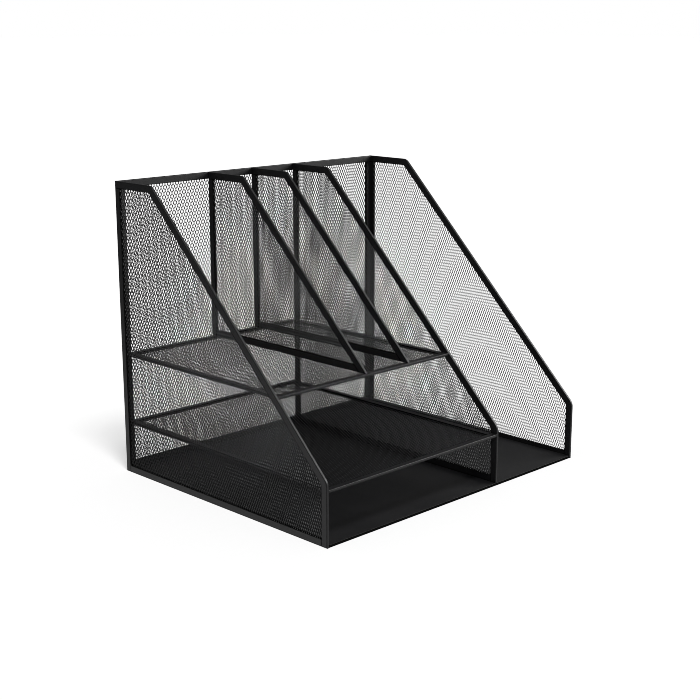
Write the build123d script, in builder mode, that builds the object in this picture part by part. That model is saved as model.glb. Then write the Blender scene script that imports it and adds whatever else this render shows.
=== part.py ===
from build123d import *
import os
from math import atan2, sin

# Desk organizer in powder-coated steel: expanded-mesh panels, each edged all round with folded strip.
# Millimetres. +Z is up, the open front faces -Y, and +X is to the right of someone facing it.
# The origin is on the surface that the organizer stands on, under the middle of its outline.

# Outside of the organizer
overall_width = 360.0
overall_depth = 300.0
overall_height = 300.0

# Expanded mesh, and the steel strip that is folded over its edges
mesh_thickness = 1.2
strip_wall = 0.8
rim_width = 7.0
strip_edge_radius = 0.7
mesh_end_gap = 0.3
bend_radius = 11.0

# Side view of the upright panels: a level top, a long slope and a short front edge
top_run = 58.0
front_height = 61.0

# Trays and slots
tray_width = 231.0
first_slot_width = 112.4
lower_shelf_top = 54.0
upper_shelf_top = 125.5

# Sheet steel base with its edges folded under
base_sheet = 0.8
base_height = 2.8
base_hem_width = 7.0

# Places worked out from the sizes above
strip_thickness = 2 * strip_wall + mesh_thickness
left = -overall_width / 2
right = overall_width / 2
front = -overall_depth / 2
rear = overall_depth / 2
back_panel_y = rear - strip_thickness
between_sides = overall_width - 2 * strip_thickness
tray_left = left + strip_thickness
tray_right = tray_left + tray_width
narrow_slot_width = (tray_width - first_slot_width - 2 * strip_thickness) / 2
divider_1_x = tray_left + first_slot_width
divider_2_x = divider_1_x + strip_thickness + narrow_slot_width
slope_run = overall_depth - top_run
slope_rise = overall_height - front_height
slope_band_run = rim_width / sin(atan2(slope_rise, slope_run))


def edge_y(height):
    """Where the front edge of the full-height panels is at this height: upright, and then sloping back."""
    return front + max(0, slope_run * (height - front_height) / slope_rise)


def save(piece, label):
    piece.part.label = label
    export_step(piece.part, f"parts/{label}.step")


def rectangle(u_range, v_range):
    """The four corners of a rectangle, as a closed outline's points."""
    (u_low, u_high), (v_low, v_high) = u_range, v_range
    return [(u_low, v_low), (u_high, v_low), (u_high, v_high), (u_low, v_high)]


def outline_of(corners, bends=()):
    """A panel's flat outline, with the strip's bend radius at the corners listed in bends."""
    with BuildSketch() as outline:
        with BuildLine():
            Polyline(*corners, close=True)
        make_face()
        for bend in bends:
            corner = outline.vertices().sort_by_distance((*bend, 0))[0]
            fillet(corner, bend_radius)
    return outline.sketch


def mesh_sheet(label, plane, outline):
    """The expanded mesh as a plain plate. It fills the strip's slot but for a small gap at its edge."""
    with BuildPart() as mesh:
        with BuildSketch(plane.offset(strip_wall)):
            offset(outline, amount=-strip_wall - mesh_end_gap)
        extrude(amount=mesh_thickness)
    save(mesh, label)


def edge_strip(label, plane, outline, reach):
    """The part of the panel's folded edging that lies within reach: a U channel, open inwards."""
    with BuildPart() as strip:
        with BuildSketch(plane):
            add(outline)
        extrude(amount=strip_thickness)
        fillet(strip.faces().filter_by(plane).edges(), strip_edge_radius)
        with BuildSketch(plane):
            offset(outline, amount=-rim_width)
        extrude(amount=strip_thickness, mode=Mode.SUBTRACT)
        with BuildSketch(plane.offset(strip_wall)):
            offset(outline, amount=-strip_wall)
        extrude(amount=mesh_thickness, mode=Mode.SUBTRACT)
        with BuildSketch(plane):
            with BuildLine():
                Polyline(*reach, close=True)
            make_face()
        extrude(amount=strip_thickness, mode=Mode.INTERSECT)
    save(strip, label)


def upright_panel(name, x, rear_y, bottom, foot_front):
    """A panel across the depth: mesh, one bent strip over the top and slope, a rear post and a bottom rail.

    foot_front gives the bottom rail's front end at a height: it butts against the bent strip there.
    """
    plane = Plane.YZ.offset(x)
    top = overall_height
    bends = [(rear - top_run, top)]
    if bottom < front_height:
        bends += [(front, front_height)]
    outline = outline_of([(rear_y, bottom), (rear_y, top), *bends, (edge_y(bottom), bottom)], bends)
    mesh_sheet(f"{name}_mesh", plane, outline)

    # The bent strip's reach crosses the middle of the panel, where there is no strip to cut.
    top_rim = top - rim_width
    post_front = rear_y - rim_width
    rail_top = bottom + rim_width
    above_rail = rail_top + rim_width
    outside = front - rim_width
    bent_strip = [
        (rear_y, top),
        (rear_y, top_rim),
        (post_front - rim_width, top_rim),
        (foot_front(above_rail), above_rail),
        (foot_front(bottom), bottom),
        (outside, bottom),
        (outside, top),
    ]
    edge_strip(f"{name}_edging", plane, outline, bent_strip)
    rear_post = rectangle((post_front, rear_y), (bottom, top_rim))
    edge_strip(f"{name}_rear_post", plane, outline, rear_post)
    bottom_rail = [
        (foot_front(bottom), bottom),
        (post_front, bottom),
        (post_front, rail_top),
        (foot_front(rail_top), rail_top),
    ]
    edge_strip(f"{name}_bottom_rail", plane, outline, bottom_rail)


def framed_rectangle(name, plane, u_range, v_range, rails):
    """A rectangular panel: mesh, two strips over its full width and two short ones between them.

    rails names the strips in the order low v, high v, low u, high u.
    """
    (u_low, u_high), (v_low, v_high) = u_range, v_range
    outline = outline_of(rectangle(u_range, v_range))
    low_band = (v_low, v_low + rim_width)
    high_band = (v_high - rim_width, v_high)
    between = (v_low + rim_width, v_high - rim_width)
    reaches = [
        rectangle(u_range, low_band),
        rectangle(u_range, high_band),
        rectangle((u_low, u_low + rim_width), between),
        rectangle((u_high - rim_width, u_high), between),
    ]
    mesh_sheet(f"{name}_mesh", plane, outline)
    for rail, reach in zip(rails, reaches):
        edge_strip(f"{name}_{rail}", plane, outline, reach)


def panel_foot(height):
    """Full-height panels: the front leg is upright, so the bottom rail ends square against it."""
    return front + rim_width


def divider_foot(height):
    """Dividers: the slope runs down to the shelf, so the bottom rail is cut along the slope."""
    return edge_y(height) + slope_band_run


def base():
    """The sheet under both sections, with a hem folded under along all four edges."""
    middle_y = (front + rear) / 2
    with BuildPart() as base_plate:
        with BuildSketch(Plane.XY):
            with Locations((0, middle_y)):
                Rectangle(between_sides, overall_depth)
        extrude(amount=base_height)
        with BuildSketch(Plane.XY):
            with Locations((0, middle_y)):
                Rectangle(between_sides - 2 * base_hem_width, overall_depth - 2 * base_hem_width)
        extrude(amount=base_sheet, mode=Mode.SUBTRACT)
        with BuildSketch(Plane.XY.offset(base_sheet)):
            with Locations((0, middle_y)):
                Rectangle(between_sides - 2 * base_sheet, overall_depth - 2 * base_sheet)
        extrude(amount=base_height - 2 * base_sheet, mode=Mode.SUBTRACT)
        long_edges = base_plate.edges().filter_by(Axis.X)
        front_edges = long_edges.group_by(Axis.Y)[0]
        rear_edges = long_edges.group_by(Axis.Y)[-1]
        fillet(front_edges + rear_edges, strip_edge_radius)
    save(base_plate, "base_plate")


os.makedirs("parts", exist_ok=True)

base()
framed_rectangle(
    "back",
    Plane.XZ.offset(-rear),
    (tray_left, right - strip_thickness),
    (base_height, overall_height),
    ["bottom_rail", "top_rail", "left_post", "right_post"],
)
upright_panel("left_side", left, rear, 0, panel_foot)
upright_panel("partition", tray_right, back_panel_y, base_height, panel_foot)
upright_panel("right_side", right - strip_thickness, rear, 0, panel_foot)
for number, divider_x in enumerate([divider_1_x, divider_2_x], start=1):
    upright_panel(f"divider_{number}", divider_x, back_panel_y, upper_shelf_top, divider_foot)
for name, shelf_top in [("lower_shelf", lower_shelf_top), ("upper_shelf", upper_shelf_top)]:
    framed_rectangle(
        name,
        Plane.XY.offset(shelf_top - strip_thickness),
        (tray_left, tray_right),
        (edge_y(shelf_top), back_panel_y),
        ["front_rail", "back_rail", "left_rail", "right_rail"],
    )
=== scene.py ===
"""Desk organizer in black powder-coated steel.

The welded strips and the base come from the CAD frame. The expanded steel mesh is modelled here,
in place of the CAD's plain mesh plates.
"""

import math

import bmesh
import bpy
from mathutils import Matrix, Vector


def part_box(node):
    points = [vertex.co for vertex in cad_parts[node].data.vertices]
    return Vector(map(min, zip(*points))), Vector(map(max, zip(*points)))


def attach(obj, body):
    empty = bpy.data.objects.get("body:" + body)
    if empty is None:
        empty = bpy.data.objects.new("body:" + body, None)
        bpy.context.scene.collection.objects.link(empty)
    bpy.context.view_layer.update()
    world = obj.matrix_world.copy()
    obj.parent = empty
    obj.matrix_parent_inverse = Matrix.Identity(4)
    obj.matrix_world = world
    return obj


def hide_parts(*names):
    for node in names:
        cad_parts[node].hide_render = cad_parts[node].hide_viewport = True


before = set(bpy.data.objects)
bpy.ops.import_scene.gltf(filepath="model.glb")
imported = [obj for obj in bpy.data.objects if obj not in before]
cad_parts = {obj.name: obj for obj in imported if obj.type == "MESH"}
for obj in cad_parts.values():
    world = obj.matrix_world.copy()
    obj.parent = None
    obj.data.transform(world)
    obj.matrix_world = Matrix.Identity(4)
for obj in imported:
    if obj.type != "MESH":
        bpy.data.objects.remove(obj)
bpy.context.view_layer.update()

MM = 0.001

# Points closer than this are one point.
SAME_POINT = 0.001 * MM

# Expanded mesh: the sheet is slit and drawn open, so each opening is a long diamond. Its sides are
# bonded for a short length where the strands meet. The mesh ends out of sight inside the strips.
SHEET_THICKNESS = 0.38 * MM
BOND_LENGTH = 0.9 * MM
HIDDEN_EDGE = 2.4 * MM

# For each kind of mesh: the diamond from middle to middle of its strands, the short way and the
# long way, the width of a strand, and how far the opening's side is lifted out of the sheet.
BACK_MESH = {"diamond": (3.41 * MM, 6.70 * MM), "strand": 0.76 * MM, "rise": 0.06 * MM}
SIDE_MESH = {"diamond": (2.88 * MM, 6.60 * MM), "strand": 0.62 * MM, "rise": -0.10 * MM}
SHELF_MESH = {"diamond": (3.43 * MM, 6.76 * MM), "strand": 0.70 * MM, "rise": 0.08 * MM}


# --- Working on one piece at a time -----------------------------------------------------------


def pick(piece):
    """Deselects everything else and makes this piece the one that operators act on."""
    bpy.ops.object.select_all(action="DESELECT")
    piece.select_set(True)
    bpy.context.view_layer.objects.active = piece


def edit(piece):
    """Opens the piece for shaping, with all of it selected."""
    pick(piece)
    bpy.ops.object.mode_set(mode="EDIT")
    bpy.ops.mesh.select_all(action="SELECT")


def close():
    """Ends the shaping of the piece that is open."""
    bpy.ops.object.mode_set(mode="OBJECT")


def select_points(piece, wanted):
    """Selects the points for which wanted(place) is true, with the edges and faces between them."""
    bpy.ops.mesh.select_mode(type="VERT")
    shape = bmesh.from_edit_mesh(piece.data)
    for point in shape.verts:
        point.select = wanted(point.co)
    shape.select_flush_mode()
    bmesh.update_edit_mesh(piece.data)


def select_faces(piece, wanted):
    """Selects the faces for which wanted(centre, normal) is true."""
    bpy.ops.mesh.select_mode(type="FACE")
    shape = bmesh.from_edit_mesh(piece.data)
    shape.normal_update()
    for face in shape.faces:
        face.select = wanted(face.calc_center_median(), face.normal)
    shape.select_flush_mode()
    bmesh.update_edit_mesh(piece.data)


# --- Expanded mesh ----------------------------------------------------------------------------


def diamond_opening(diamond, strand, rise):
    """One opening with the near half of the strands round it, flat on XY, long way along Y.

    The edge of the opening is tipped about its long way, so each strand stands on edge a little
    and leans the same way, as it does when slit sheet is drawn open.
    """
    half_short, half_long = diamond[0] / 2, diamond[1] / 2
    slant = math.atan2(half_short, half_long)
    opening_short = half_short - strand / 2 / math.cos(slant)
    opening_long = half_long - strand / 2 / math.sin(slant)

    def on_outer_edge(place):
        """Whether a place is on the diamond's four straight outer sides."""
        return abs(place.x) / half_short + abs(place.y) / half_long > 0.99

    # The opening: a circle of six points, with the four beside its long way drawn together.
    bpy.ops.mesh.primitive_circle_add(vertices=6, radius=1.0, fill_type="NOTHING")
    cell = bpy.context.object
    edit(cell)
    corner_across = math.sin(math.radians(60))
    corner_along = math.cos(math.radians(60))
    bpy.ops.transform.resize(value=(opening_short / corner_across, opening_long, 1))
    select_points(cell, lambda place: abs(place.x) > opening_short / 2)
    bpy.ops.transform.resize(value=(1, BOND_LENGTH / 2 / (corner_along * opening_long), 1))

    # The strands: the edge drawn outwards to the diamond, whose four corners are points.
    bpy.ops.mesh.select_all(action="SELECT")
    bpy.ops.mesh.extrude_edges_move()
    bpy.ops.transform.resize(value=(half_short / opening_short, half_long / opening_long, 1))
    select_points(cell, lambda place: abs(place.x) > half_short - SAME_POINT)
    bpy.ops.transform.resize(value=(1, 0, 1))
    bpy.ops.mesh.remove_doubles(threshold=SAME_POINT)

    # Their lean, and their thickness.
    select_points(cell, lambda place: not on_outer_edge(place))
    bpy.ops.transform.rotate(
        value=math.asin(rise / opening_short),
        orient_axis="Y",
        center_override=(0, 0, 0),
    )
    bpy.ops.mesh.select_all(action="SELECT")
    bpy.ops.mesh.normals_make_consistent(inside=False)
    bpy.ops.mesh.extrude_region_move(
        TRANSFORM_OT_translate={"value": (0, 0, SHEET_THICKNESS)}
    )

    # The neighbouring openings' strands go on from the outer edge, so it has no wall.
    select_faces(
        cell,
        lambda centre, normal: abs(normal.z) < 0.5 and on_outer_edge(centre),
    )
    bpy.ops.mesh.delete(type="FACE")
    bpy.ops.mesh.select_all(action="SELECT")
    bpy.ops.transform.translate(value=(0, 0, -SHEET_THICKNESS / 2))
    close()
    return cell


def mesh_field(name, kind, across, along):
    """A flat field of openings, at least this size, from the origin along +X and +Y."""
    short_way, long_way = kind["diamond"]
    piece = diamond_opening(**kind)
    piece.name = name
    edit(piece)
    bpy.ops.mesh.duplicate_move(
        TRANSFORM_OT_translate={"value": (short_way / 2, long_way / 2, 0)}
    )
    close()
    repeats = (
        ("columns", math.ceil(across / short_way) + 1, (short_way, 0, 0)),
        ("rows", math.ceil(along / long_way) + 1, (0, long_way, 0)),
    )
    for label, count, step in repeats:
        array = piece.modifiers.new(label, "ARRAY")
        array.count = count
        array.use_relative_offset = False
        array.use_constant_offset = True
        array.constant_offset_displace = step
        bpy.ops.object.modifier_apply(modifier=array.name)
    edit(piece)
    bpy.ops.mesh.remove_doubles(threshold=SAME_POINT)
    close()
    return piece


def cut(point, outwards):
    """Cuts the open piece with a plane, removes what lies beyond it and closes the cut ends."""
    bpy.ops.mesh.select_all(action="SELECT")
    bpy.ops.mesh.bisect(
        plane_co=point,
        plane_no=outwards,
        clear_outer=True,
        use_fill=True,
        threshold=SAME_POINT,
    )


def slope_of(node):
    """A point on the slanted edge of a panel's CAD plate, and the direction out of the panel."""
    low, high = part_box(node)
    corners = {(point.co.y, point.co.z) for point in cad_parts[node].data.vertices}
    outline = sorted(corner for corner in corners if corner[0] < high.y - MM)
    foot, head = max(zip(outline, outline[1:]), key=lambda run: math.dist(*run))
    outwards = Vector((0, foot[1] - head[1], head[0] - foot[0])).normalized()
    return Vector((low.x, *foot)), outwards


def stand(piece, turns, place):
    """Turns the flat field and moves it to its place, then settles both into the mesh."""
    pick(piece)
    piece.rotation_euler = turns
    piece.location = place
    bpy.ops.object.transform_apply(location=True, rotation=True, scale=True)


def trim(piece, low, high, slope=None):
    """Cuts the mesh to a box, and to a slanted edge if it has one, where the strips hide it."""
    inset = Vector((HIDDEN_EDGE, HIDDEN_EDGE, HIDDEN_EDGE))
    edit(piece)
    through = min(range(3), key=lambda axis: high[axis] - low[axis])
    for axis in range(3):
        if axis != through:
            outwards = Vector((0, 0, 0))
            outwards[axis] = 1
            cut(high - inset, outwards)
            cut(low + inset, -outwards)
    if slope:
        edge, outwards = slope
        cut(edge - outwards * HIDDEN_EDGE, outwards)
    bpy.ops.mesh.select_all(action="SELECT")
    bpy.ops.mesh.normals_make_consistent(inside=False)
    close()


def finish_mesh(piece, node):
    """Puts the mesh in the place of its CAD plate, and paints it."""
    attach(piece, "root")
    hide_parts(node)
    piece.data.materials.append(mesh_coat)


def upright_mesh(node):
    """The mesh of a side, the partition or a divider."""
    low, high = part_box(node)
    piece = mesh_field(node + "_strands", SIDE_MESH, high.y - low.y, high.z - low.z)
    stand(piece, (math.radians(90), 0, math.radians(90)), ((low.x + high.x) / 2, low.y, low.z))
    trim(piece, low, high, slope_of(node))
    finish_mesh(piece, node)


def shelf_mesh(node):
    """The mesh of a shelf, with its diamonds' long way from front to back."""
    low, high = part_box(node)
    piece = mesh_field(node + "_strands", SHELF_MESH, high.x - low.x, high.y - low.y)
    stand(piece, (0, 0, 0), (low.x, low.y, (low.z + high.z) / 2))
    trim(piece, low, high)
    finish_mesh(piece, node)


def back_panel_mesh(node):
    """The back panel's mesh, in two lengths that meet behind the partition."""
    low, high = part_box(node)
    partition_left, partition_right = (corner.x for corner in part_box("partition_mesh"))
    seam = (partition_left + partition_right) / 2
    lengths = (("tray", low.x, seam + HIDDEN_EDGE), ("file", seam - HIDDEN_EDGE, high.x))
    for name, left, right in lengths:
        piece = mesh_field(f"{node}_{name}_strands", BACK_MESH, high.x - low.x, high.z - low.z)
        stand(piece, (math.radians(90), 0, 0), (low.x, (low.y + high.y) / 2, low.z))
        trim(piece, Vector((left, low.y, low.z)), Vector((right, high.y, high.z)))
        finish_mesh(piece, node)


# --- Finishes ---------------------------------------------------------------------------------


CLOUDS_PER_METRE = 14
RUBS_PER_METRE = 90
DUST_BRIGHTNESS = 3.0
# The near-black of the painted shade along folds, cut edges and the base's sides.
PAINTED_SHADE_BLACK = (0.004, 0.004, 0.004, 1)


class Signal:
    """One output of a shader node. Arithmetic on it adds the Math node that works it out."""

    def __init__(self, finish, socket):
        self.finish = finish
        self.socket = socket

    def worked(self, operation, first, second):
        """The output of a Math node with these two inputs."""
        return self.finish.node("Math", {"operation": operation}, {0: first, 1: second})

    def __add__(self, other):
        return self.worked("ADD", self, other)

    def __radd__(self, other):
        return self.worked("ADD", other, self)

    def __sub__(self, other):
        return self.worked("SUBTRACT", self, other)

    def __rsub__(self, other):
        return self.worked("SUBTRACT", other, self)

    def __mul__(self, other):
        return self.worked("MULTIPLY", self, other)

    def __rmul__(self, other):
        return self.worked("MULTIPLY", other, self)


class Finish:
    """The nodes of one material, or of the room's light. Every one of them comes from node()."""

    def __init__(self, owner):
        owner.use_nodes = True
        self.tree = owner.node_tree
        self.tree.nodes.clear()

    def node(self, kind, settings=None, inputs=None, output=0):
        """Adds a node of this type: its settings first, then the values or links of its inputs."""
        made = self.tree.nodes.new("ShaderNode" + kind)
        for setting, value in (settings or {}).items():
            setattr(made, setting, value)
        for socket, value in (inputs or {}).items():
            if isinstance(value, Signal):
                self.tree.links.new(value.socket, made.inputs[socket])
            else:
                made.inputs[socket].default_value = value
        return Signal(self, made.outputs[output]) if made.outputs else None

    def place(self):
        """Where the paint is, in metres on the piece."""
        return self.node("TexCoord", output="Object")

    def noise(self, per_metre, detail=2.0, roughness=0.5):
        """Smooth random patches, this many to the metre, from 0 to 1."""
        return self.node(
            "TexNoise",
            {"noise_dimensions": "3D"},
            {"Vector": self.place(), "Scale": per_metre, "Detail": detail, "Roughness": roughness},
        )

    def between(self, value, low, high):
        """0 below low, 1 above high, and a smooth step between them."""
        return self.node(
            "MapRange",
            {"interpolation_type": "SMOOTHSTEP"},
            {"Value": value, "From Min": low, "From Max": high},
        )

    def blend(self, share, first, second):
        """A colour that goes from first to second as share goes from 0 to 1."""
        return self.node("Mix", {"data_type": "RGBA"}, {0: share, 6: first, 7: second}, output=2)


def powder_coat(name, dark, light, roughness, grain, edge_shade_width=0, shade_non_top_faces=False):
    """Black polyester powder, baked: a fine stipple, cloudy patches and rubbed, dusty places.

    grain is the number of grains to the metre and their depth. Near every fold and cut edge, and
    where asked on every face that does not face up, a near-black dull diffuse is mixed in: painted
    shade.
    """
    grain_per_metre, grain_depth = grain
    material = bpy.data.materials.new(name)
    coat = Finish(material)
    clouds = coat.between(coat.noise(CLOUDS_PER_METRE, 3.0), 0.3, 0.7)
    speckle = coat.noise(grain_per_metre, 4.0, 0.6)
    colour = coat.blend(clouds * 0.6 + speckle * 0.4, (*dark, 1), (*light, 1))
    rubbed = coat.between(coat.noise(RUBS_PER_METRE, 5.0, 0.7), 0.62, 0.8)
    dusty = (*[DUST_BRIGHTNESS * value for value in light], 1)
    colour = coat.blend(rubbed * 0.35, colour, dusty)
    stipple = coat.node(
        "Bump",
        {},
        {"Height": speckle, "Distance": grain_depth, "Strength": 0.6},
    )
    paint = coat.node(
        "BsdfPrincipled",
        {},
        {
            "Base Color": colour,
            "Roughness": roughness + (speckle - 0.5) * 0.16 + clouds * 0.06 - rubbed * 0.08,
            "Normal": stipple,
            "IOR": 1.5,
        },
    )
    # Painted shade: within the given width of a fold or cut edge the coat turns to a near-black dull
    # diffuse.
    if edge_shade_width:
        rounded = coat.node("Bevel", {"samples": 6}, {"Radius": edge_shade_width})
        flat = coat.node("NewGeometry", output="True Normal")
        cosine = {"operation": "DOT_PRODUCT"}
        turn = coat.node("VectorMath", cosine, {0: rounded, 1: flat}, output=1)
        painted_shade_mask = coat.between(1 - turn, 0.0, 0.05)
        if shade_non_top_faces:
            # Painted shade on every face that does not face up.
            upward = coat.node("SeparateXYZ", {}, {"Vector": flat}, output=2)
            painted_shade_mask = painted_shade_mask + (1 - coat.between(upward, 0.6, 0.95))
        painted_shade = coat.node("BsdfDiffuse", {}, {"Color": PAINTED_SHADE_BLACK, "Roughness": 1.0})
        paint = coat.node("MixShader", {}, {0: painted_shade_mask * 0.95, 1: paint, 2: painted_shade})
    coat.node("OutputMaterial", {}, {"Surface": paint})
    return material


strip_coat = powder_coat(
    "strip_powder_coat",
    dark=(0.004, 0.004, 0.005),
    light=(0.009, 0.009, 0.010),
    roughness=0.42,
    grain=(1400, 0.05 * MM),
    # Painted shade along the strips' folds and cut edges.
    edge_shade_width=1.3 * MM,
)
mesh_coat = powder_coat(
    "mesh_powder_coat",
    dark=(0.004, 0.004, 0.005),
    light=(0.009, 0.009, 0.010),
    roughness=0.47,
    grain=(900, 0.03 * MM),
)
base_coat = powder_coat(
    "base_powder_coat",
    dark=(0.003, 0.003, 0.004),
    light=(0.007, 0.007, 0.008),
    roughness=0.52,
    grain=(1100, 0.05 * MM),
    # Painted shade along the base's edges and on all its faces that do not face up.
    edge_shade_width=0.9 * MM,
    shade_non_top_faces=True,
)

coats = {"folded_strip": strip_coat, "expanded_mesh": mesh_coat, "base_sheet": base_coat}
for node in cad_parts.values():
    for slot in node.material_slots:
        slot.material = coats[slot.material.name]

for panel in ("left_side", "partition", "right_side", "divider_1", "divider_2"):
    upright_mesh(panel + "_mesh")
for panel in ("lower_shelf", "upper_shelf"):
    shelf_mesh(panel + "_mesh")
back_panel_mesh("back_mesh")


# --- Studio -----------------------------------------------------------------------------------

# The room that the paint reflects, and the floor: its own glow and its whiteness, as the paint meets
# it and as the eye does. To the eye these and the key light add up to plain white. The paint meets
# a floor that dims between two distances from the organizer.
ROOM_LIGHT = 0.20
FLOOR_TO_PAINT = (0.14, 0.80)
FLOOR_TO_EYE = (0.535, 0.76)
DARK_FLOOR = (0.12, 0.12, 0.12, 1)
LIT_FLOOR = (0.30, 1.10)
FLOOR_SIZE = 60


def glowing_paper(paper, glow, white):
    """Paper that gives off some light of its own, so that a shadow on it stays pale."""
    light = paper.node("Emission", {}, {"Color": (1, 1, 1, 1), "Strength": glow})
    sheet = paper.node("BsdfDiffuse", {}, {"Color": (white, white, white, 1)})
    return paper.node("AddShader", {}, {0: light, 1: sheet})


def floor():
    """A wide floor, plain white to the eye and a pool of light to the paint."""
    bpy.ops.object.select_all(action="DESELECT")
    bpy.ops.mesh.primitive_plane_add(size=FLOOR_SIZE, location=(0, 0, 0))
    sheet = bpy.context.object
    sheet.name = "studio_floor"
    material = bpy.data.materials.new("studio_paper")
    paper = Finish(material)
    seen = paper.node("LightPath", output="Is Camera Ray")
    lit = glowing_paper(paper, *FLOOR_TO_PAINT)
    unlit = paper.node("BsdfDiffuse", {}, {"Color": DARK_FLOOR})
    away = paper.node("VectorMath", {"operation": "LENGTH"}, {0: paper.place()}, output=1)
    dimming = paper.between(away, *LIT_FLOOR)
    to_paint = paper.node("MixShader", {}, {0: dimming, 1: lit, 2: unlit})
    to_eye = glowing_paper(paper, *FLOOR_TO_EYE)
    either = paper.node("MixShader", {}, {0: seen, 1: to_paint, 2: to_eye})
    paper.node("OutputMaterial", {}, {"Surface": either})
    sheet.data.materials.append(material)


def surroundings():
    """White behind everything, and a dim room for the paint to reflect."""
    world = bpy.data.worlds.new("studio_room")
    bpy.context.scene.world = world
    room = Finish(world)
    seen = room.node("LightPath", output="Is Camera Ray")
    dim = room.node("Background", {}, {"Color": (ROOM_LIGHT, ROOM_LIGHT, ROOM_LIGHT, 1)})
    white = room.node("Background", {}, {"Color": (1, 1, 1, 1)})
    either = room.node("MixShader", {}, {0: seen, 1: dim, 2: white})
    room.node("OutputWorld", {}, {"Surface": either})


def hang(lamp, place, target):
    """Hangs a lamp at a place, turned to a target."""
    holder = bpy.data.objects.new(lamp.name, lamp)
    bpy.context.scene.collection.objects.link(holder)
    holder.location = place
    holder.rotation_euler = (Vector(target) - Vector(place)).to_track_quat("-Z", "Y").to_euler()
    return holder


def key_light():
    """Soft light from high in front, even all over the floor, so the shadows fall behind."""
    lamp = bpy.data.lights.new("key_light", "SUN")
    lamp.angle = math.radians(13)
    lamp.energy = 1.6
    hang(lamp, place=(-0.22, -0.53, 1.0), target=(0, 0, 0))


def gloss_card():
    """A round card off the front right corner, which only the gloss of the paint picks up."""
    lamp = bpy.data.lights.new("gloss_card", "AREA")
    lamp.shape = "DISK"
    lamp.size = 1.0
    lamp.energy = 34
    card = hang(lamp, place=(1.35, -0.95, 0.95), target=(0, 0, 0.12))
    card.visible_diffuse = False


def camera():
    """A long lens, off the organizer's front left corner and a little above its top."""
    lens = bpy.data.cameras.new("studio_camera")
    lens.lens = 68.92
    lens.sensor_width = 36
    lens.clip_start = 0.05
    holder = bpy.data.objects.new("studio_camera", lens)
    bpy.context.scene.collection.objects.link(holder)
    place = Matrix.Translation((-0.9440, -0.9511, 0.4541))
    heading, down, roll = math.radians(44.70), math.radians(13.86), math.radians(-0.05)
    turn = Matrix.Rotation(-heading, 4, "Z")
    turn @= Matrix.Rotation(math.radians(90) - down, 4, "X")
    turn @= Matrix.Rotation(roll, 4, "Z")
    holder.matrix_world = place @ turn
    bpy.context.scene.camera = holder


floor()
surroundings()
key_light()
gloss_card()
camera()
bpy.context.scene.view_settings.view_transform = "Standard"
bpy.context.scene.cycles.filter_width = 0.8
